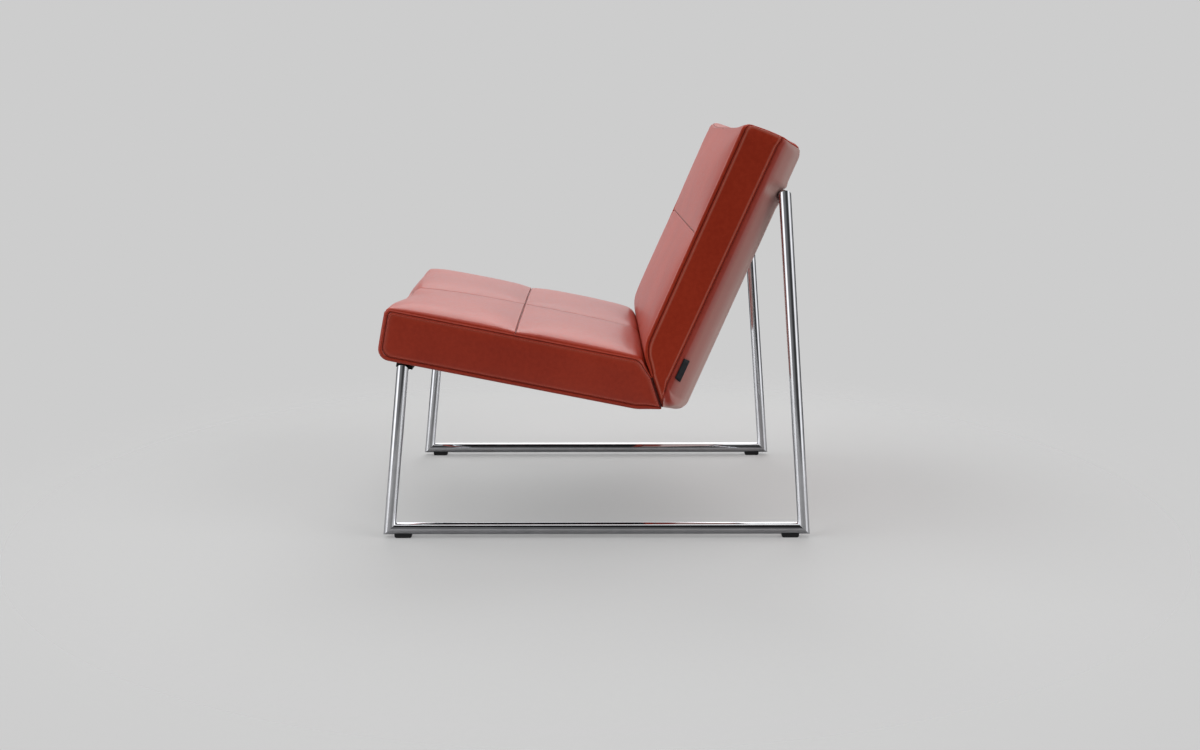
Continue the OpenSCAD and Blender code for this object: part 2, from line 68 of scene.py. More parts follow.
def linear(code):
    # sRGB hex to linear: c/12.92 up to .04045, else ((c + .055)/1.055)^2.4
    parts = [int(code[i:i + 2], 16) / 255 for i in (1, 3, 5)]
    return (*[c / 12.92 if c <= 0.04045 else ((c + 0.055) / 1.055) ** 2.4 for c in parts], 1)


def add(tree, kind, sockets=None, stops=(), **settings):
    # adds a node with its settings; a socket takes a value or another node's output, and a
    # colour ramp its stops as (place, linear colour)
    made = tree.nodes.new("ShaderNode" + kind)
    for name, value in settings.items():
        setattr(made, name, value)
    for name, value in (sockets or {}).items():
        if isinstance(value, bpy.types.NodeSocket):
            tree.links.new(value, made.inputs[name])
        else:
            made.inputs[name].default_value = value
    if stops:
        band = made.color_ramp.elements
        band.remove(band[1])
        band[0].position, band[0].color = stops[0]
        for place, colour in stops[1:]:
            band.new(place).color = colour
    return made


def newMaterial(name):
    made = bpy.data.materials.new(name)
    made.use_nodes = True
    tree = made.node_tree
    tree.nodes.clear()
    shader = add(tree, "BsdfPrincipled")
    add(tree, "OutputMaterial", {"Surface": shader.outputs["BSDF"]})
    place = add(tree, "TexCoord").outputs["Object"]
    return made, tree, shader, place


# the hide's patterns per metre: dye clouds of 140 mm, mottle of 8 mm, pebbles of 0.9 mm and
# pores of 0.4 mm; and the colours of the painted shade in a seam, the painted highlight on the
# fold beside it, the painted sheen at a slant, and the nap
cowhide = {"cloud": 7.0, "mottle": 130.0, "pebble": 1100.0, "pore": 2600.0, "paintedShade": "#3a0f0a",
           "foldHighlight": "#e59a86", "sheenPaint": "#cfb3ac", "nap": "#f0b49c"}


def leatherMaterial(name, dark, light, rough, sheen, paintedSheen, shine=0.45):
    # pigmented full-grain cowhide, waxed: pebbles 0.1 mm deep, cloudy dye and a soft gloss, with
    # painted shade, highlights and sheen laid into its colour
    made, tree, shader, place = newMaterial(name)
    cloud = add(tree, "TexNoise", {"Vector": place, "Scale": cowhide["cloud"], "Detail": 3.0})
    mottle = add(tree, "TexNoise", {"Vector": place, "Scale": cowhide["mottle"], "Detail": 4.0})
    pebble = add(tree, "TexVoronoi", {"Vector": place, "Scale": cowhide["pebble"],
                                      "Randomness": 0.9})
    pore = add(tree, "TexNoise", {"Vector": place, "Scale": cowhide["pore"], "Detail": 2.0})
    both = add(tree, "Mix", {0: 0.45, 2: cloud.outputs["Fac"], 3: mottle.outputs["Fac"]})
    tone = add(tree, "Mix", {0: 0.22, 2: both.outputs[0], 3: pebble.outputs["Distance"]})
    dye = add(tree, "ValToRGB", {"Fac": tone.outputs[0]},
              [(0.32, linear(dark)), (0.62, linear(light))])
    # painted sheen: the colour pales towards a pinkish grey, by the given share, where the hide
    # is seen at a slant
    slant = add(tree, "LayerWeight", {"Blend": 0.5}).outputs["Facing"]
    sheenShare = add(tree, "MapRange", {"Value": slant, "From Min": 0.14, "From Max": 0.42,
                                  "To Min": 0.0, "To Max": paintedSheen})
    pale = add(tree, "Mix", {0: sheenShare.outputs["Result"], 6: dye.outputs["Color"],
                             7: linear(cowhide["sheenPaint"])}, data_type="RGBA")
    # the seam attribute: above 0 in a seam or joint, where it paints shade, and below 0 on the
    # fold beside a seam, where it paints a highlight
    seam = add(tree, "Attribute", attribute_name="seam").outputs["Fac"]
    shadeShare = add(tree, "Math", {0: seam, 1: 0.45}, operation="MULTIPLY")
    seamShaded = add(tree, "Mix", {0: shadeShare.outputs[0], 6: pale.outputs[2], 7: linear(cowhide["paintedShade"])},
               data_type="RGBA")
    foldHighlight = add(tree, "Math", {0: seam, 1: -0.5}, operation="MULTIPLY")
    lit = add(tree, "Mix", {0: foldHighlight.outputs[0], 6: seamShaded.outputs[2], 7: linear(cowhide["foldHighlight"])},
              data_type="RGBA")
    tree.links.new(lit.outputs[2], shader.inputs["Base Color"])
    wear = add(tree, "MapRange", {"Value": mottle.outputs["Fac"], "From Min": 0.3,
                                  "From Max": 0.7, "To Min": rough - 0.02, "To Max": rough + 0.03})
    tree.links.new(wear.outputs["Result"], shader.inputs["Roughness"])
    grain = add(tree, "Mix", {0: 0.35, 2: pebble.outputs["Distance"], 3: pore.outputs["Fac"]})
    fine = add(tree, "Bump", {"Height": grain.outputs[0], "Strength": 0.4, "Distance": 0.00010})
    soft = add(tree, "Bump", {"Height": mottle.outputs["Fac"], "Strength": 0.15,
                              "Distance": 0.0005, "Normal": fine.outputs["Normal"]})
    tree.links.new(soft.outputs["Normal"], shader.inputs["Normal"])
    shader.inputs["Specular IOR Level"].default_value = shine
    shader.inputs["Sheen Weight"].default_value = sheen
    shader.inputs["Sheen Roughness"].default_value = 0.35
    shader.inputs["Sheen Tint"].default_value = linear(cowhide["nap"])
    return made


leather = leatherMaterial("leather", "#a02e19", "#b63b23", 0.37, 0.03, 0.0)
# the back's hide has a duller finish, and the rear one a strong painted sheen at a slant
backLeather = leatherMaterial("back_leather", "#a02e19", "#b63b23", 0.4, 0.03, 0.0, 0.18)
rearLeather = leatherMaterial("rear_leather", "#9a2c1b", "#ae3a28", 0.42, 0.06, 0.8)


bandsPerMetre = 3.14  # of a wave texture at scale 1


def wovenMaterial(name, dark, light, threads, rough):
    # plain weave: two crossed wave sets, threads per metre, over and under in turn
    made, tree, shader, place = newMaterial(name)
    one, two = [add(tree, "TexWave", {"Vector": place, "Scale": threads / bandsPerMetre,
                                      "Distortion": 0.6, "Detail": 1.0}, bands_direction=way)
                for way in ("X", "DIAGONAL")]
    both = add(tree, "Math", {0: one.outputs["Fac"], 1: two.outputs["Fac"]}, operation="MULTIPLY")
    yarn = add(tree, "ValToRGB", {"Fac": both.outputs[0]},
               [(0, linear(dark)), (0.8, linear(light))])
    tree.links.new(yarn.outputs["Color"], shader.inputs["Base Color"])
    bump = add(tree, "Bump", {"Height": both.outputs[0], "Strength": 0.6, "Distance": 0.0002})
    tree.links.new(bump.outputs["Normal"], shader.inputs["Normal"])
    shader.inputs["Roughness"].default_value = rough
    return made


def plainMaterial(name, dark, light, grain, rough, metal=0.0, bump=0.00005, stretch=(1, 1, 1)):
    # one substance with a fine grain, so many to the metre: colour, roughness and relief all
    # come from the same noise, which stretch draws out along the grain
    made, tree, shader, place = newMaterial(name)
    scaled = add(tree, "Mapping", {"Vector": place, "Scale": stretch})
    noise = add(tree, "TexNoise", {"Vector": scaled.outputs[0], "Scale": grain, "Detail": 4.0})
    tint = add(tree, "ValToRGB", {"Fac": noise.outputs["Fac"]},
               [(0.3, linear(dark)), (0.7, linear(light))])
    tree.links.new(tint.outputs["Color"], shader.inputs["Base Color"])
    wear = add(tree, "MapRange", {"Value": noise.outputs["Fac"], "From Min": 0.3, "From Max": 0.7,
                                  "To Min": rough * 0.85, "To Max": rough * 1.2})
    tree.links.new(wear.outputs["Result"], shader.inputs["Roughness"])
    relief = add(tree, "Bump", {"Height": noise.outputs["Fac"], "Strength": 0.5,
                                "Distance": bump})
    tree.links.new(relief.outputs["Normal"], shader.inputs["Normal"])
    shader.inputs["Metallic"].default_value = metal
    return made


# spun polyester thread, a shade lighter than the leather, its fuzz 1.1 mm long
thread = plainMaterial("thread", "#b8503f", "#cf6a58", 900, 0.5, bump=0.0001)
# black spunbond cloth, embossed every 1.1 mm: dull
baseFabric = wovenMaterial("base_fabric", "#121213", "#232325", 900, 0.9)
# woven polyester tape, a thread every 0.6 mm: a faint silkiness
tabFabric = wovenMaterial("tab_fabric", "#0b0b10", "#1d1d26", 1600, 0.7)
finishes = {
    # polished chrome plate on steel: a mirror, hazed in 25 mm patches by wiping
    "chrome": plainMaterial("chrome", "#cfd0d3", "#dcdde0", 40, 0.055, 1.0, 0.000004),
    # moulded glass-filled nylon: satin black, 1.4 mm grain
    "glide_nylon": plainMaterial("glide_nylon", "#101012", "#1b1b1d", 700, 0.5),
    # moulded EPDM rubber: matt black, 2 mm grain
    "saddle_rubber": plainMaterial("saddle_rubber", "#0d0d0e", "#171718", 500, 0.7),
    # zinc-plated steel: grey, with a satin gloss and 3 mm spangles
    "fixing_steel": plainMaterial("fixing_steel", "#8f9296", "#a9acb0", 300, 0.35, 1.0),
    # sanded birch plywood, its grain 2 mm wide along y and 17 mm long
    "plywood": plainMaterial("plywood", "#b08a5c", "#cfae80", 60, 0.6, stretch=(1, 8, 1)),
    # planed beech, its grain 7 mm wide and 100 mm long, along the rails
    "beech": plainMaterial("beech", "#b98a5e", "#d1a67c", 50, 0.55, stretch=(0.2, 3, 3)),
    # rubber and polypropylene webbing, a thread every 1.4 mm
    "webbing": wovenMaterial("webbing", "#3a3632", "#5b554e", 700, 0.85),
}
for piece in nodes.values():
    old = piece.data.materials[0].name.split(".")[0] if piece.data.materials else ""
    if old in finishes:
        piece.data.materials[0] = finishes[old]
print("materials made")


# the cushions' side views, in metres from the crease: (s, t) along and square to the top of
# the seat, which slopes by pitch, and (n, h) square to and up the front of the back

crease = {"y": 0.0710197, "z": 0.33947, "pitch": math.radians(11.3), "rake": math.radians(24)}


def fromCrease(lean, a, b):
    # the chair's (y, z) of a point (a, b) of a cushion that leans
    return (crease["y"] + a * math.cos(lean) + b * math.sin(lean),
            crease["z"] - a * math.sin(lean) + b * math.cos(lean))


def toCrease(lean, y, z):
    # the other way round
    dy, dz = y - crease["y"], z - crease["z"]
    return dy * math.cos(lean) - dz * math.sin(lean), dy * math.sin(lean) + dz * math.cos(lean)


def seatPoint(s, t):
    return fromCrease(crease["pitch"], s, t)


def backPoint(n, h):
    return fromCrease(crease["rake"], n, h)


def roundLoop(loop, w):
    # closed outline with rounded corners at w: corner k's arc is 2k..2k+1, the line after it
    # 2k+1..2k+2; arc(f) = centre + r (cos, sin)(a0 + f (a1 - a0)), line(f) = p + f (q - p)
    corners, radii, count = loop["corners"], loop["radii"], len(loop["corners"])
    before = corners - np.roll(corners, 1, 0)
    before /= np.linalg.norm(before, axis=1)[:, None]
    after = np.roll(before, -1, 0)
    cosine = np.clip(np.sum(before * after, 1), -1, 1)
    turn = np.arccos(cosine)
    side = np.sign(before[:, 0] * after[:, 1] - before[:, 1] * after[:, 0])
    reach = radii * np.tan(turn / 2)
    first, last = corners - before * reach[:, None], corners + after * reach[:, None]
    normal = np.stack([-before[:, 1], before[:, 0]], 1) * side[:, None]
    centre = first + normal * radii[:, None]
    which = np.floor(w).astype(int) % (2 * count)
    part, k = w - np.floor(w), which // 2
    begin = np.arctan2(*(first - centre)[:, ::-1].T)
    angle = begin[k] + part * turn[k] * side[k]
    arc = centre[k] + radii[k, None] * np.stack([np.cos(angle), np.sin(angle)], 1)
    line = last[k] + part[:, None] * (np.roll(first, -1, 0)[k] - last[k])
    return np.where((which % 2 == 0)[:, None], arc, line)


def loopTable(loop):
    # w, the arc length at it and the point there, all round an outline
    w = np.linspace(0, 2 * len(loop["corners"]), 4001)
    points = roundLoop(loop, w % (2 * len(loop["corners"])))
    steps = np.linalg.norm(np.diff(points, axis=0), axis=1)
    return w, np.concatenate([[0], np.cumsum(steps)]), points


# spacing of the cushions' rows and columns, and the least distance between two of either
mesh = {"rows": 0.006, "cols": 0.0075, "least": 0.00035}


def stations(low, high, pitch, seams, arcs=()):
    # even stops with extra ones close to each seam and through each tight arc
    near = np.array([-5, -3.6, -2.6, -1.9, -1.3, -0.8, -0.4, 0, 0.4, 0.8, 1.3, 1.9, 2.6, 3.6, 5])
    stops = [np.linspace(low, high, int(round((high - low) / pitch)) + 1)]
    stops += [seam + near * 0.001 for seam in seams]
    stops += [np.linspace(a, b, 9) for a, b in arcs]
    stops = np.unique(np.concatenate(stops))
    stops = stops[(stops >= low) & (stops <= high)]
    fixed = np.concatenate([np.asarray(seams, float), [low, high]])
    kept = [stops[0]]
    for stop in stops[1:]:
        if stop - kept[-1] > mesh["least"]:
            kept.append(stop)
        elif np.min(np.abs(fixed - stop)) < 1e-9:
            kept[-1] = stop
    return np.array(kept)


def layRows(w, length, seams, extra=()):
    # arc lengths of the rows down an outline, closer at its seams and corners, and their w
    arcs = [tuple(np.interp([k, k + 1], w, length)) for k in (0, 2, 4, 6, 10)]
    stops = stations(0, length[-1], mesh["rows"], seams, arcs + list(extra))[:-1]
    return stops, np.interp(stops, length, w)


seatSide = {
    "corners": np.array([(0.09902, 0.30297), seatPoint(0.007, 0), seatPoint(-0.457, 0),
                         seatPoint(-0.457, -0.093), (0.0718, 0.2444), (0.11802, 0.24443)]),
    "radii": np.array([0.003, 0.028, 0.009, 0.021, 0.06, 0.003]),
}
# the front edge is a rounder roll away from the sides; warp keeps its rows level with theirs
seatMiddle = dict(seatSide, radii=np.array([0.003, 0.028, 0.024, 0.024, 0.06, 0.003]),
                  warp=([0, 3, 3.6, 4, 12], [0, 3, 3.622, 4, 12]))
backSide = {
    "corners": np.array([backPoint(n, h) for n, h in
                         [(0.082, -0.068), (0.0775, -0.046), (0.077, 0.456), (0, 0.456),
                          (0.003, 0.016), (0.0404, -0.022)]]),
    "radii": np.array([0.002, 0.110, 0.009, 0.018, 0.07, 0.003]),
}
backMiddle = {
    "corners": np.array([backPoint(n, h) for n, h in
                         [(0.082, -0.068), (0.125, -0.0582), (0.119, 0.456), (0, 0.456),
                          (0.003, 0.016), (0.0404, -0.022)]]),
    "radii": np.array([0.003, 0.022, 0.02, 0.009, 0.07, 0.003]),
}


def groove(away, depth, lip):
    # a sewn seam: -depth e^-(d/.9mm)^2 + lip e^-((|d|-2.4mm)/1.2mm)^2
    d = np.abs(away) * 1000
    return -depth * np.exp(-(d / 0.9) ** 2) + lip * np.exp(-((d - 2.4) / 1.2) ** 2)


def pillow(t, power, top):
    # 0 at t = 0 and 1, 1 between: (1 - |2t - 1|^power)^top
    return np.clip(1 - np.abs(2 * np.clip(t, 0, 1) - 1) ** power, 0, 1) ** top


def gridNormals(points):
    # outward normals of a surface grid by its finite differences; rows close on themselves
    rows = np.roll(points, -1, 0) - np.roll(points, 1, 0)
    cols = np.gradient(points, axis=1)
    normals = np.cross(rows, cols)
    size = np.linalg.norm(normals, axis=2)[..., None]
    return normals / np.maximum(size, 1e-12)


def seamShade(away, wide=0.0009):
    # how deep in a sewn seam a point lies: e^-(distance / wide)^2
    return np.exp(-(away / wide) ** 2)


def newPiece(name, points, faces, material, smooth=True):
    # a mesh object at the origin
    made = bpy.data.objects.new(name, bpy.data.meshes.new(name))
    made.data.from_pydata(points.reshape(-1, 3).tolist(), [], faces)
    made.data.validate()
    made.data.materials.append(material)
    made.data.polygons.foreach_set("use_smooth", [smooth] * len(made.data.polygons))
    made.data.update()
    bpy.context.scene.collection.objects.link(made)
    return made


def gridMesh(name, points, material, shade=None):
    # a mesh from a grid (rows closed, columns open), the two end rings closed by flat faces
    rows, cols = points.shape[:2]
    index = np.arange(rows * cols).reshape(rows, cols)
    a, b = index[:, :-1], index[:, 1:]
    c, d = np.roll(index, -1, 0)[:, 1:], np.roll(index, -1, 0)[:, :-1]
    faces = np.stack([a, d, c, b], 2).reshape(-1, 4).tolist()
    faces += [index[::-1, 0].tolist(), index[:, -1].tolist()]
    made = newPiece(name, points, faces, material)
    # the shade becomes the seam attribute, from which the leather paints shade and highlights
    if shade is not None:
        seam = made.data.attributes.new("seam", "FLOAT", "POINT")
        seam.data.foreach_set("value", shade.ravel())
    return made


halfWidth = 0.316  # of the cushions
wrapHalf = halfWidth - 0.004  # of the columns over their tops
# columns of each side panel with its roll: shares of the way from the top to the rim seam,
# distances from the seam, and shares of the way on to the middle of the panel
rollSteps = np.linspace(0.12, 0.86, 6)
seamSteps = np.array([-2.4, -1.5, -0.9, -0.45, 0, 0.45, 0.9, 1.5, 2.4, 3.6]) * 0.001
panelSteps = np.array([0.12, 0.26, 0.42, 0.6, 0.78, 0.92])
panelEnd = 0.97  # how far on those go, so that the panel isn't pinched
sideCount = len(rollSteps) + len(seamSteps) + len(panelSteps)
# counted from the middle of the left panel: its flat columns, its stitches and its seam; the
# right panel's column k is -1 - k
flatCount, stitchCol, seamCol = 10, 6, 11


def toSpine(side, spine, w):
    # the spine's nearest point to each outline point, and how deep it lies along the inward
    # normal (-ty, tx) of the outline's tangent t
    line = roundLoop(side, w)
    ahead = roundLoop(side, (w + 1e-4) % (2 * len(side["corners"])))
    tangent = ahead - line
    tangent /= np.linalg.norm(tangent, axis=1)[:, None]
    inward = np.stack([-tangent[:, 1], tangent[:, 0]], 1)
    a, b = np.array(spine[0]), np.array(spine[1])
    run = np.clip(((line - a) @ (b - a)) / ((b - a) @ (b - a)), 0, 1)
    core = a + run[:, None] * (b - a)
    return core, np.sum((core - line) * inward, 1)


def masterSurface(side, middle, widths, w, cols, spine, radius, seam):
    # S(w, x): outline of the side or middle, mixed over x by widths, rolled over each side
    # edge: at arc length a the roll is x = W - r + r sin(a/r), d = r (1 - cos(a/r)), and past
    # a = r pi/2 the side panel, x = W, d = r + a - r pi/2; d inwards from outline to spine
    def at(loop):
        return roundLoop(loop, np.interp(w, *loop.get("warp", (w, w))))
    sideLine, middleLine = at(side), at(middle)
    x = cols[None] * ((halfWidth - radius) / wrapHalf)[:, None]
    share = widths(w[:, None], halfWidth - np.abs(x))[..., None]
    wrap = sideLine[:, None] * (1 - share) + middleLine[:, None] * share
    wrap = np.concatenate([x[..., None], wrap], 2)
    along = np.concatenate([rollSteps[None] * (seam[:, None] + seamSteps[0]),
                            seam[:, None] + seamSteps], 1)
    turn = np.clip(along / radius[:, None], 0, np.pi / 2)
    depth = radius[:, None] * (1 - np.cos(turn)) + np.clip(
        along - radius[:, None] * np.pi / 2, 0, 1)
    capX = halfWidth - radius[:, None] * (1 - np.sin(turn))
    core, reach = toSpine(side, spine, w)
    # round a corner the depth to the spine runs evenly from one edge's to the next one's
    which = np.floor(w).astype(int)
    atEnds = toSpine(side, spine, np.arange(2.0 * len(side["corners"])))[1]
    even = atEnds[which] + (w - which) * (np.roll(atEnds, -1)[which] - atEnds[which])
    reach = np.maximum(np.where(which % 2 == 0, even, reach), 0.03)
    part = depth / reach[:, None]
    part = np.concatenate([part, part[:, -1:] + panelSteps * (panelEnd - part[:, -1:])], 1)
    deepX = halfWidth - (halfWidth - capX[:, -1:]) * (1 - panelSteps[None]) ** 2.5
    capX = np.concatenate([capX, deepX], 1)
    capShare = widths(w[:, None], halfWidth - capX)[..., None]
    rim = sideLine[:, None] * (1 - capShare) + middleLine[:, None] * capShare
    cap = rim + part[..., None] * (core - sideLine)[:, None]
    right = np.concatenate([capX[..., None], cap], 2)
    left = right[:, ::-1] * np.array([-1, 1, 1])
    grid = np.concatenate([left, wrap, right], 1)
    onward = along[:, -1:] + panelSteps * (panelEnd * reach - depth[:, -1])[:, None]
    return grid, np.concatenate([along, onward], 1) - seam[:, None]


def outward(grid):
    # surface normals, straight sideways on the flat side panels
    normals = gridNormals(grid)
    for cols, way in ((slice(0, flatCount), -1), (slice(-flatCount, None), 1)):
        part = normals[:, cols]
        lean = np.abs(part[..., 0]) > 0.93
        part[lean] = (way, 0, 0)
    return normals


def spread(at, places):
    # cubic Hermite weights that carry values at some places to all of them
    eye = np.eye(len(at))
    slope = np.gradient(eye, at, axis=0)
    k = np.clip(np.searchsorted(at, places, side="right") - 1, 0, len(at) - 2)
    gap = (at[k + 1] - at[k])[:, None]
    u = np.clip((places - at[k])[:, None] / gap, 0, 1)
    return ((1 + 2 * u) * (1 - u) ** 2 * eye[k] + u * (1 - u) ** 2 * gap * slope[k]
            + u * u * (3 - 2 * u) * eye[k + 1] + u * u * (u - 1) * gap * slope[k + 1])


def coarse(stops, pitch, keep):
    # every stop that lies a pitch on from the last, and those that must stay
    kept = [0]
    for i in range(1, len(stops)):
        ahead = [k for k in keep if k > i]
        near = ahead and stops[min(ahead)] - stops[i] < pitch * 0.45
        if i in keep or (stops[i] - stops[kept[-1]] >= pitch and not near):
            kept.append(i)
    return np.array(kept)


# the cloth: spacing of its coarse grid, frames, the farthest that it moves a point, and values
clothRun = {"pitch": 0.0085, "frames": 20, "cap": 0.022}
seatCloth = {"quality": 6, "mass": 0.3, "uniform_pressure_force": 2.2, "tension_stiffness": 25,
             "compression_stiffness": 25, "shear_stiffness": 10, "bending_stiffness": 2.5}
backCloth = dict(seatCloth, uniform_pressure_force=0.7)


def settle(name, points, held, cloth):
    # Blender's cloth on a coarse copy: seams pinned, the panels blown up
    pad = gridMesh(name, points, leather)
    pins = pad.vertex_groups.new(name="pins")
    pins.add(np.nonzero(held.ravel())[0].tolist(), 1, "REPLACE")
    modifier = pad.modifiers.new("cloth", "CLOTH")
    for key, value in cloth.items():
        setattr(modifier.settings, key, value)
    modifier.settings.use_pressure = True
    modifier.settings.vertex_group_mass = "pins"
    modifier.settings.effector_weights.gravity = 0
    modifier.collision_settings.use_collision = False
    for number in range(1, clothRun["frames"] + 1):
        bpy.context.scene.frame_set(number)
    shown = pad.evaluated_get(bpy.context.evaluated_depsgraph_get())
    where = np.empty(points.size, np.float32)
    shown.to_mesh().vertices.foreach_get("co", where)
    shown.to_mesh_clear()
    bpy.context.scene.frame_set(1)
    draft = pad.data
    bpy.data.objects.remove(pad)
    bpy.data.meshes.remove(draft)
    move = where.reshape(points.shape) - points
    size = np.linalg.norm(move, axis=2)[..., None]
    return move * np.minimum(1, clothRun["cap"] / np.maximum(size, 1e-9))


def soften(name, grid, held, rowStops, colStops, keepRows, keepCols, cloth):
    # the cloth's movement on a coarse grid, carried to every point of the fine one
    rows = coarse(rowStops, clothRun["pitch"], keepRows)
    cols = coarse(colStops, clothRun["pitch"], keepCols)
    move = settle(name, grid[np.ix_(rows, cols)], held[np.ix_(rows, cols)], cloth)
    lift = np.linalg.norm(move, axis=2)
    print(name, "cloth", move.shape, "moved at most", round(float(lift.max()) * 1000, 1), "mm")
    total = rowStops[-1] + (rowStops[1] - rowStops[0])
    at = np.concatenate([rowStops[rows] - total, rowStops[rows], rowStops[rows] + total])
    down = spread(at, rowStops)
    count = len(rows)
    down = down[:, :count] + down[:, count:2 * count] + down[:, 2 * count:]
    return np.einsum("ij,jkc,lk->ilc", down, move, spread(colStops[cols], colStops))


def pinned(shape, lines, still):
    # what the cloth holds: the cross seams' lines, still rows, the rim seams and the side
    # panels' middles
    held = np.zeros(shape, bool)
    held[lines, seamCol:-seamCol] = True
    held[still] = True
    held[:, [seamCol, -1 - seamCol]] = True
    held[:, :3] = held[:, -3:] = True
    return held


def acrossStops(cols):
    # distance along a row, for the cloth: panel, 30 mm; its seam's columns, 1.1 mm apart; roll,
    # 6 mm; top; and the same again backwards
    side = np.concatenate([np.linspace(0, 0.03, 7)[:6], 0.03 + np.arange(10) * 0.0011,
                           0.041 + np.linspace(0.05, 0.95, 6) * 0.006])
    low = side - side[-1] + cols[0] - 0.0005
    return np.concatenate([low, cols, -low[::-1]])


def onTop(shape):
    # 1 over the cushion's top, .6 and .25 on the rolls' first two columns, and 0 past them
    share = np.zeros(shape)
    share[:, sideCount:-sideCount] = 1
    share[:, [sideCount - 1, -sideCount]] = 0.6
    share[:, [sideCount - 2, 1 - sideCount]] = 0.25
    return share


def sewAcross(stops, seams, top):
    # the cross seams, (place, depth) each: how far they move the leather, and the painted shade
    # in them
    sew, shade = np.zeros(top.shape), np.zeros(top.shape)
    for at, deep in seams:
        sew += groove(stops[:, None] - at, deep, deep * 0.2) * (top > 0.3)
        shade = np.maximum(shade, seamShade(stops - at)[:, None] * (top > 0.3))
    return sew, shade


def sewSides(sew, away):
    # the side panels: a seam along the rim and a slow swell inside it
    move = np.zeros((len(away), sideCount))
    move += groove(away, 0.0014, 0.0003)
    move += 0.0016 * (1 - np.exp(-np.clip(away, 0, 1) / 0.009))
    move -= 0.0010 * np.clip((away + 0.006) / 0.004, 0, 1)
    sew[:, -sideCount:] += move
    sew[:, :sideCount] += move[:, ::-1]


def crown(u, ends, cross, dip, parted=True):
    # height of two or four panels over their flat base: the seams lie at dip x (1 - u^3)^.5,
    # and the panels rise from them, as 1 - e^-(distance / 20 mm), to (1 - u^5)^.5
    arch = np.clip(1 - u ** 5, 0, 1) ** 0.5 * ends
    seams = dip * np.clip(1 - u ** 3, 0, 1) ** 0.5 * ends
    rise = 1 - np.exp(-np.abs(cross) / 0.020)
    if parted:
        rise = rise * (1 - np.exp(-u * halfWidth / 0.022))
    return seams + (arch - seams) * rise


def rimShade(shade, away, rows, foldHighlight):
    # painted shade in the seams round both side panels, a painted highlight on the fold inside
    # them, and painted shade in the joint where the seat and the back press on each other
    joint = 2 * np.interp(rows, [0, 0.5, 0.9, 10.3, 10.9, 12], [1, 1, 0, 0, 1, 1])[:, None]
    rim = seamShade(away, 0.0012) - foldHighlight * seamShade(away - 0.0034, 0.0007)
    rim = rim + joint * (away < -0.001)
    shade = shade + joint
    shade[:, -sideCount:] = rim
    shade[:, :sideCount] = rim[:, ::-1]
    return shade


# w of the seat's outline: 1..2 behind, 3..4 the top, 4..5 its front edge, 5..6 the nose and
# 7..8 underneath; front and nose seam, the roll's radius and the rim seam's distance go by w;
# cross is that seam's distance from the crease, and deep how deep the three seams are
seat = {
    "cross": 0.221, "front": 4.65, "nose": 6.4, "deep": (0.0022, 0.0015, 0.0012),
    "crown": 0.0165, "dip": 0.62, "noseCrown": 0.003, "puff": 0.002, "foldHighlight": 0.2,
    "drawMiddle": 0.003, "drawNear": 0.012,
    "spine": (seatPoint(-0.40, -0.045), seatPoint(-0.01, -0.05)),
    "roll": ([0, 1, 1.6, 3.9, 4.6, 6.4, 7.2, 9.6, 10.6, 12],
             [0.002, 0.002, 0.004, 0.004, 0.006, 0.006, 0.006, 0.006, 0.002, 0.002]),
    "rim": ([0, 1, 1.8, 4.0, 4.8, 6.3, 7.3, 9.6, 10.6, 12],
            [0.0036, 0.0036, 0.0060, 0.0060, 0.0105, 0.0110, 0.0112, 0.0112, 0.0036, 0.0036]),
}


def noseShare(w, depth):
    # from the outline of the sides, 0, to that of the middle, 1, the same for every w
    return np.interp(depth, [0, 0.008, 0.05, 0.15, 0.25, 0.31],
                     [0, 0.02, 0.24, 0.58, 0.88, 1]) + 0 * w


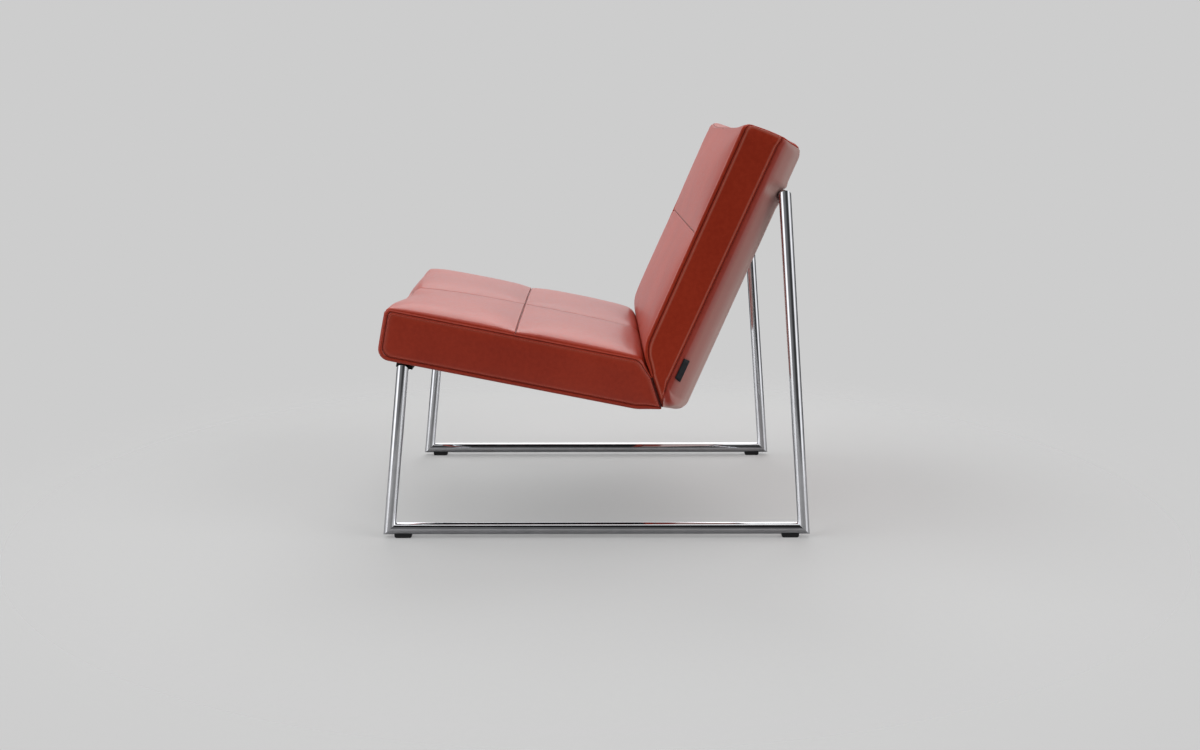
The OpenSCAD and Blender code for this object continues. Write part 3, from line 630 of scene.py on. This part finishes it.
def makeSeat():
    w, length, points = loopTable(seatSide)
    s = toCrease(crease["pitch"], points[:, 0], points[:, 1])[0]
    flat = (w > 2) & (w < 4.6)
    crossAt = np.interp(seat["cross"], -s[flat], length[flat])
    places = [crossAt, *np.interp([seat["front"], seat["nose"]], w, length)]
    stops, rows = layRows(w, length, places)
    cols = stations(-wrapHalf, wrapHalf, mesh["cols"], [0])
    grid, away = masterSurface(seatSide, seatMiddle, noseShare, rows, cols, seat["spine"],
                               np.interp(rows, *seat["roll"]), np.interp(rows, *seat["rim"]))
    normals, top = outward(grid), onTop(grid.shape[:2])
    across = grid[..., 0]
    su = toCrease(crease["pitch"], grid[..., 1], grid[..., 2])[0]
    u = np.clip(np.abs(across) / (halfWidth - 0.001), 0, 1)
    ends = pillow((su + 0.455) / 0.485, 3.2, 0.5)
    above = (np.clip((4.7 - rows) / 0.5, 0, 1) * np.clip((rows - 1.2) / 1.2, 0, 1))[:, None] * top
    lift = seat["crown"] * above * crown(u, ends, su + seat["cross"], seat["dip"])
    nose = np.sin(np.pi * np.clip((rows - seat["front"]) / 1.8, 0, 1))[:, None] * top
    lift = lift + seat["noseCrown"] * nose * pillow(0.5 + across / halfWidth / 2, 4, 0.6)
    # the front edge is drawn in where the centre seam crosses it and more so on the near side,
    # as in the photo; the corners of the top puff up
    drawn = seat["drawMiddle"] * np.exp(-np.abs(across / 0.035) ** 1.5)
    drawn = drawn + seat["drawNear"] * np.exp(-((across - 0.1) / 0.1) ** 2)
    lift = lift - drawn * np.exp(-np.abs(rows - 4.4) ** 2 / 0.3)[:, None] * top
    lift = lift + seat["puff"] * (np.exp(-((u - 0.84) / 0.12) ** 2 - ((su + 0.42) / 0.05) ** 2)
                                  * (rows < 4.7)[:, None] * top)
    grid = grid + normals * lift[..., None]
    lines = [int(np.argmin(np.abs(stops - at))) for at in places]
    middle = sideCount + int(np.argmin(np.abs(cols)))
    held = pinned(grid.shape[:2], lines[:2], (rows > 6.2) | (rows < 1.2))
    held[rows < 4.7, middle] = True
    keep = [seamCol, middle, grid.shape[1] - 1 - seamCol]
    grid = grid + soften("seatPad", grid, held, stops, acrossStops(cols), lines, keep,
                         seatCloth)
    normals = outward(grid)
    sew, shade = sewAcross(stops, list(zip(places, seat["deep"])), top)
    centre = ((rows < seat["front"]) & (rows > 1))[:, None]
    sew += groove(across, 0.0020, 0.0003) * centre
    sewSides(sew, away)
    # the centre seam gets half as much painted shade
    shade = np.maximum(shade, seamShade(across) * 0.5 * centre)
    return grid + normals * sew[..., None], rows, rimShade(shade, away, rows, seat["foldHighlight"])


def bevelShare(w, depth):
    # 0 at the side to 1 on the rear face over 46 mm, t: sin(pi t / 2)^1.25, and fuller
    # underneath: 1 - (1 - t)^2.6
    t = np.clip(depth / 0.046, 0, 1)
    rear, low = np.sin(np.pi * t / 2) ** 1.25, 1 - (1 - t) ** 2.6
    under = np.clip((3.02 - w) / 0.6, 0, 1)
    return rear * (1 - under) + low * under


# w of the back's outline: 1..2 under the heel, 3..4 the rear, 4..5 its top edge, 5..6 the top
# and 7..8 the front; the values are like the seat's, and hang goes by n
back = {
    "cross": 0.245, "front": 6.5, "rear": 4.5, "deep": (0.0020, 0.0015, 0.0012),
    "crown": 0.0045, "dip": 0.1, "foldHighlight": 0.9, "hang": ([0, 0.12], [0.011, 0.006]),
    "spine": (backPoint(0.045, 0.03), backPoint(0.039, 0.42)),
    "roll": ([0, 1, 2, 4.0, 4.6, 6.2, 6.8, 9, 10.6, 12],
             [0.002, 0.004, 0.012, 0.012, 0.009, 0.009, 0.005, 0.005, 0.002, 0.002]),
    "rim": ([0, 1, 2, 4.0, 4.8, 6.3, 6.9, 9, 10.6, 12],
            [0.0036, 0.0070, 0.0142, 0.0142, 0.0050, 0.0050, 0.0098, 0.0098, 0.0036, 0.0036]),
}
bar = {"n": 0.1217, "h": 0.3678, "radius": 0.0118}  # the rear crossbar's channel in the back


def makeBack():
    w, length, points = loopTable(backMiddle)
    h = toCrease(crease["rake"], points[:, 0], points[:, 1])[1]
    onFront, onRear = (w > 7) & (w < 9), (w > 3) & (w < 4)
    crossAt = np.interp(-back["cross"], -h[onFront], length[onFront])
    places = [crossAt, *np.interp([back["front"], back["rear"]], w, length)]
    barAt = np.interp(bar["h"], h[onRear], length[onRear])
    stops, rows = layRows(w, length, places, [(barAt - 0.02, barAt), (barAt, barAt + 0.02)])
    cols = stations(-wrapHalf, wrapHalf, mesh["cols"], [0])
    grid, away = masterSurface(backSide, backMiddle, bevelShare, rows, cols, back["spine"],
                               np.interp(rows, *back["roll"]), np.interp(rows, *back["rim"]))
    normals, top = outward(grid), onTop(grid.shape[:2])
    across = grid[..., 0]
    nu, hu = toCrease(crease["rake"], grid[..., 1], grid[..., 2])
    u = np.clip(np.abs(across) / (halfWidth - 0.001), 0, 1)
    ends = pillow((hu + 0.02) / 0.476, 3.2, 0.5)
    front = (np.clip((rows - back["front"]) / 0.4, 0, 1)
             * np.clip(10.5 - rows, 0, 1))[:, None] * top
    arch = back["crown"] * crown(u, ends, hu - back["cross"], back["dip"], False)
    grid = grid + normals * (front * (arch - 0.002 * ends))[..., None]
    # the top edge hangs between its two corners, more at the front than at the rear
    hang = np.clip((rows - 3.9) / 0.6, 0, 1) * np.clip((7.25 - rows) / 0.5, 0, 1)
    drop = hang[:, None] * (1 - u ** 5) * np.interp(nu, *back["hang"])
    drop -= hang[:, None] * (0.0045 * np.exp(-((nu - 0.06) / 0.045) ** 2) * u ** 8
                             + 0.006 * np.exp(-((nu - 0.11) / 0.03) ** 2
                                              - ((u - 0.84) / 0.14) ** 2))
    inner, deep = len(panelSteps), (1 - panelSteps) ** 2
    drop[:, -inner:] *= deep
    drop[:, :inner] *= deep[::-1]
    grid[..., 1] -= drop * math.sin(crease["rake"])
    grid[..., 2] -= drop * math.cos(crease["rake"])
    lines = sorted(int(np.argmin(np.abs(stops - at))) for at in places)
    held = pinned(grid.shape[:2], lines, (rows < 4.5) | (rows > 10))
    keep = [seamCol, grid.shape[1] - 1 - seamCol]
    grid = grid + soften("backPad", grid, held, stops, acrossStops(cols), lines, keep,
                         backCloth)
    normals = outward(grid)
    sew, shade = sewAcross(stops, list(zip(places, back["deep"])), top)
    sewSides(sew, away)
    shade = rimShade(shade, away, rows, back["foldHighlight"])
    grid = grid + normals * sew[..., None]
    # the crossbar presses a channel into the rear, with a low lip above and below it
    nu, hu = toCrease(crease["rake"], grid[..., 1], grid[..., 2])
    off = np.abs(hu - bar["h"])
    rear = ((rows > 2.6) & (rows < 4.4))[:, None] & (top > 0)
    channel = bar["n"] - np.sqrt(np.clip(bar["radius"] ** 2 - off ** 2, 0, 1))
    press = np.where((off < bar["radius"]) & rear, np.clip(nu - channel, 0, 1), 0)
    lip = np.where(rear, 0.0016 * np.exp(-((off - 0.017) / 0.005) ** 2), 0)
    # beside the tube's end the leather is dented
    dent = np.where(rear, 0.006 * np.exp(-(off / 0.010) ** 2)
                    * np.exp(-((np.abs(across) - 0.292) / 0.012) ** 2), 0)
    move = lip * np.clip((nu - 0.085) / 0.03, 0, 1) - np.maximum(press, dent)
    grid[..., 1] += move * math.cos(crease["rake"])
    grid[..., 2] -= move * math.sin(crease["rake"])
    return grid, rows, shade


def panelOf(name, grid, rows, cols, material, size):
    # a sheet from part of a grid, lifted off it along its normals and thickened inwards
    part = (grid + outward(grid) * size["lift"])[rows][:, cols]
    index = np.arange(part[..., 0].size).reshape(part.shape[:2])
    faces = np.stack([index[:-1, :-1], index[1:, :-1], index[1:, 1:], index[:-1, 1:]], 2)
    made = newPiece(name, part, faces.reshape(-1, 4).tolist(), material)
    solid = made.modifiers.new("thickness", "SOLIDIFY")
    solid.thickness, solid.offset = size["thick"], -1
    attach(made, "root")
    return made


# stitches: distance from one to the next, length and the thread's radius; then, for the rings
# of each, where they are along it, their radius and how far they stand out, in thread radii
stitch = {"pitch": 0.0046, "long": 0.0034, "thick": 0.00045, "sides": 6,
          "at": np.array([0, 0.12, 0.35, 0.65, 0.88, 1]),
          "girth": np.array([0.25, 0.75, 1, 1, 0.75, 0.25]),
          "stand": np.array([-1.0, -0.1, 0.25, 0.25, -0.1, -1.0])}


def stitchLine(points, normals):
    # starts, ends and outward normals of stitches along a closed line of points
    ring = np.concatenate([points, points[:1]])
    run = np.concatenate([[0], np.cumsum(np.linalg.norm(np.diff(ring, axis=0), axis=1))])
    at = np.arange(0, run[-1] - stitch["pitch"] / 2, stitch["pitch"])
    face = np.concatenate([normals, normals[:1]])

    def pick(values, ahead):
        return np.stack([np.interp(at + ahead, run, values[:, k]) for k in range(3)], 1)
    return np.concatenate([pick(ring, 0), pick(ring, stitch["long"]),
                           pick(face, stitch["long"] / 2)], 1)


def makeStitches(name, grid):
    # along both side panels; each is a capsule round a line that dips at its ends:
    # P(k, a) = start + (stop - start) at(k) + out stand(k) + girth(k) (cos a side + sin a out)
    normals = outward(grid)
    data = np.concatenate([stitchLine(grid[:, col], normals[:, col])
                           for col in (stitchCol, -1 - stitchCol)])
    start, stop, out = data[:, :3], data[:, 3:6], data[:, 6:]
    out = out / np.linalg.norm(out, axis=1)[:, None]
    way = stop - start
    way /= np.linalg.norm(way, axis=1)[:, None]
    side = np.cross(way, out)
    turn = np.linspace(0, 2 * np.pi, stitch["sides"] + 1)[:-1]
    radius, stand = stitch["thick"] * stitch["girth"], stitch["thick"] * stitch["stand"]
    centre = (start[:, None] + (stop - start)[:, None] * stitch["at"][None, :, None]
              + out[:, None] * stand[None, :, None])
    ring = (np.cos(turn)[None, None, :, None] * side[:, None, None]
            + np.sin(turn)[None, None, :, None] * out[:, None, None])
    points = centre[:, :, None] + ring * radius[None, :, None, None]
    index = np.arange(points[..., 0].size).reshape(points.shape[:3])
    a, b = index[:, :-1], np.roll(index, -1, 2)[:, :-1]
    c, d = np.roll(index, -1, 2)[:, 1:], index[:, 1:]
    quads = np.stack([a, d, c, b], 3).reshape(-1, 4)
    caps = np.concatenate([index[:, 0], index[:, -1, ::-1]])
    made = newPiece(name, points, quads.tolist() + caps.tolist(), thread)
    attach(made, "root")
    print(name, len(data))
    return made


seatGrid, seatRows, seatShade = makeSeat()
seatCushion = gridMesh("seatCushion", seatGrid, leather, seatShade)
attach(seatCushion, "root")
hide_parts("seat_cover", "left_seat_side", "right_seat_side", "seat_foam")
print("seat made", seatGrid.shape)

backGrid, backRows, backShade = makeBack()
# the rear cover, from seam to seam over the bevels, and by w from under the heel to the top
# edge; the cushion itself runs on under it, sunk
rear = {"low": 0.9, "high": 4.5, "lift": 0.0004, "thick": 0.003, "sunk": 0.004}
rearRows = (backRows > rear["low"]) & (backRows < rear["high"])
rearCols = slice(seamCol, backGrid.shape[1] - seamCol)
rearCover = panelOf("rearCover", backGrid, rearRows, rearCols, rearLeather, rear)
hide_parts("rear_cover")
sunk = np.zeros(backGrid.shape[:2])
sunk[:, rearCols] = rear["sunk"] * (np.clip((backRows - rear["low"]) / 0.6, 0, 1)
                                    * rearRows)[:, None]
backBody = backGrid - outward(backGrid) * sunk[..., None]
backCushion = gridMesh("backCushion", backBody, backLeather, backShade)
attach(backCushion, "root")
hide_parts("back_cover", "left_back_side", "right_back_side", "back_foam")
print("back made", backGrid.shape)

# 3.6 mm inside the rim seams
seatStitches = makeStitches("seatStitches", seatGrid)
backStitches = makeStitches("backStitches", backGrid)

# the base cloth under the seat, its rows by w and its inset from the sides
base = {"low": 6.9, "high": 9.6, "inset": 0.018, "lift": 0.0012, "thick": 0.001}
baseRows = (seatRows > base["low"]) & (seatRows < base["high"])
baseCols = np.abs(seatGrid[len(seatGrid) // 2, :, 0]) < halfWidth - base["inset"]
baseCloth = panelOf("baseCloth", seatGrid, baseRows, baseCols, baseFabric, base)
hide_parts("base_cover")

# the folded woven tab, sewn into the rear seam and laid over the roll: its reach up the back,
# h, read on its own column, its reach across the seam, n, and the columns near to it
tab = {"low": -0.0035, "high": 0.0365, "from": 0.0765, "to": 0.0915, "col": -14,
       "near": 30, "lift": 0.0022, "thick": 0.0014}
tabN, tabH = toCrease(crease["rake"], backGrid[..., 1], backGrid[..., 2])
tabH = tabH[:, tab["col"]]
tabRows = (tabH > tab["low"]) & (tabH < tab["high"]) & (backRows > 2) & (backRows < 4)
tabN = tabN[tabRows].mean(0)
nearSide = np.arange(len(tabN)) > len(tabN) - tab["near"]
tabCols = nearSide & (tabN > tab["from"]) & (tabN < tab["to"])
seamTab = panelOf("seamTab", backGrid, tabRows, tabCols, tabFabric, tab)
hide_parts("seam_tab")
print("stitches, base cloth and tab made")


# floor and light: a plain pale studio; the camera sees 64 % of the floor and the chrome
# mirrors half of it, and the rest is backdrop, so that its shadow stays light

ground = {"size": 1.5, "dark": "#cdcdcd", "light": "#cfcfcf", "fade": (0.85, 1.45),
          "unseen": -0.36, "unmirrored": -0.5}


def makeFloor():
    # a disc that fades into the backdrop at its rim: (x, y) = r (cos a, sin a)
    turn, radius = np.meshgrid(np.linspace(0, 2 * np.pi, 97)[:-1],
                               np.linspace(0.02, ground["size"], 13))
    points = np.stack([radius * np.cos(turn), radius * np.sin(turn), turn * 0], 2)
    index = np.arange(turn.size).reshape(turn.shape)
    a, b = index[:-1], index[1:]
    faces = np.stack([a, b, np.roll(b, -1, 1), np.roll(a, -1, 1)], 2).reshape(-1, 4).tolist()
    # matt painted board, its grit 11 mm apart to show at all
    made, tree, shader, place = newMaterial("floor")
    grit = add(tree, "TexNoise", {"Vector": place, "Scale": 90.0, "Detail": 2.0})
    paint = add(tree, "ValToRGB", {"Fac": grit.outputs["Fac"]},
                [(0, linear(ground["dark"])), (1, linear(ground["light"]))])
    tree.links.new(paint.outputs["Color"], shader.inputs["Base Color"])
    shader.inputs["Roughness"].default_value = 1
    shader.inputs["Specular IOR Level"].default_value = 0
    far = add(tree, "VectorMath", {0: place}, operation="LENGTH").outputs["Value"]
    fade = add(tree, "MapRange", {"Value": far, "From Min": ground["fade"][0],
                                  "From Max": ground["fade"][1], "To Min": 1.0, "To Max": 0.0},
               interpolation_type="SMOOTHSTEP")
    rays = add(tree, "LightPath").outputs
    lens = add(tree, "Math", {0: rays["Is Camera Ray"], 1: ground["unseen"], 2: 1.0},
               operation="MULTIPLY_ADD")
    both = add(tree, "Math", {0: rays["Is Glossy Ray"], 1: ground["unmirrored"],
                              2: lens.outputs[0]}, operation="MULTIPLY_ADD")
    shown = add(tree, "Math", {0: fade.outputs["Result"], 1: both.outputs[0]},
                operation="MULTIPLY")
    tree.links.new(shown.outputs[0], shader.inputs["Alpha"])
    newPiece("floor", points, faces + [index[0].tolist()], made, smooth=False)


# what the chrome mirrors: bearing from the camera's side in degrees, level
studioBands = [(-179, 1.0), (-152, 1.0), (-146, 0.10), (-112, 0.10), (-100, 0.55), (-82, 0.6),
               (-78, 1.6), (-52, 1.6), (-44, 0.30), (-12, 0.18), (12, 0.04), (34, 0.05),
               (46, 0.35), (52, 1.25), (76, 1.25), (84, 0.45), (100, 0.35), (114, 0.06),
               (146, 0.06), (152, 1.0), (179, 1.0)]
# name, direction that the light comes from, strength, width in degrees
lamps = [("above", (0.0, 0.0, 1), 0.4, 40), ("far", (-1, 0.1, 0.9), 0.9, 40),
         ("front", (0.1, -1, 0.75), 1.2, 60), ("rear", (0.5, 1, 0.5), 0.9, 40)]


def makeLight():
    world = bpy.data.worlds.new("studio")
    bpy.context.scene.world = world
    world.use_nodes = True
    tree = world.node_tree
    tree.nodes.clear()
    rays = add(tree, "LightPath")
    way = add(tree, "SeparateXYZ", {0: add(tree, "TexCoord").outputs["Generated"]}).outputs
    # darker behind the camera, which is on +X
    walls = add(tree, "ValToRGB", {"Fac": way["X"]},
                [(0, linear("#ffffff")), (0.35, linear("#d8d8d8")), (0.8, linear("#6e6e6e"))])
    fill = add(tree, "Background", {"Color": walls.outputs["Color"], "Strength": 0.5})
    # for mirrors: soft boxes to the front and rear, dark flags between them and the backdrop;
    # place = bearing / 360 degrees + .5, 0.5 towards the camera
    bearing = add(tree, "Math", {0: way["Y"], 1: way["X"]}, operation="ARCTAN2")
    around = add(tree, "Math", {0: bearing.outputs[0], 1: 1 / (2 * math.pi), 2: 0.5},
                 operation="MULTIPLY_ADD")
    boxes = add(tree, "ValToRGB", {"Fac": around.outputs[0]}, [
        (degrees / 360 + 0.5, (level, level, level * 1.02, 1)) for degrees, level in studioBands])
    # no boxes overhead or below: their level falls to .06 between 27 and 41 degrees up or down
    height = add(tree, "Math", {0: way["Z"]}, operation="ABSOLUTE").outputs[0]
    window = add(tree, "MapRange", {"Value": height, "From Min": 0.45, "From Max": 0.65,
                                    "To Min": 1.0, "To Max": 0.06})
    shine = add(tree, "Background", {"Color": boxes.outputs["Color"],
                                     "Strength": window.outputs["Result"]})
    plain = add(tree, "Background", {"Color": linear("#cdcdcd"), "Strength": 1.0})
    glossy = add(tree, "Math", {0: rays.outputs["Is Glossy Ray"],
                                1: rays.outputs["Is Transmission Ray"]}, operation="MAXIMUM")
    one = add(tree, "MixShader", {0: glossy.outputs[0], 1: fill.outputs[0], 2: shine.outputs[0]})
    two = add(tree, "MixShader", {0: rays.outputs["Is Camera Ray"], 1: one.outputs[0],
                                  2: plain.outputs[0]})
    add(tree, "OutputWorld", {"Surface": two.outputs[0]})
    for name, source, power, wide in lamps:
        sun = bpy.data.lights.new(name, "SUN")
        sun.energy, sun.angle = power, math.radians(wide)
        lamp = bpy.data.objects.new(name, sun)
        lamp.rotation_mode = "QUATERNION"
        lamp.rotation_quaternion = Vector(source).to_track_quat("Z", "Y")
        bpy.context.scene.collection.objects.link(lamp)


makeFloor()
makeLight()
bpy.context.scene.view_settings.view_transform = "Standard"
print("studio made")
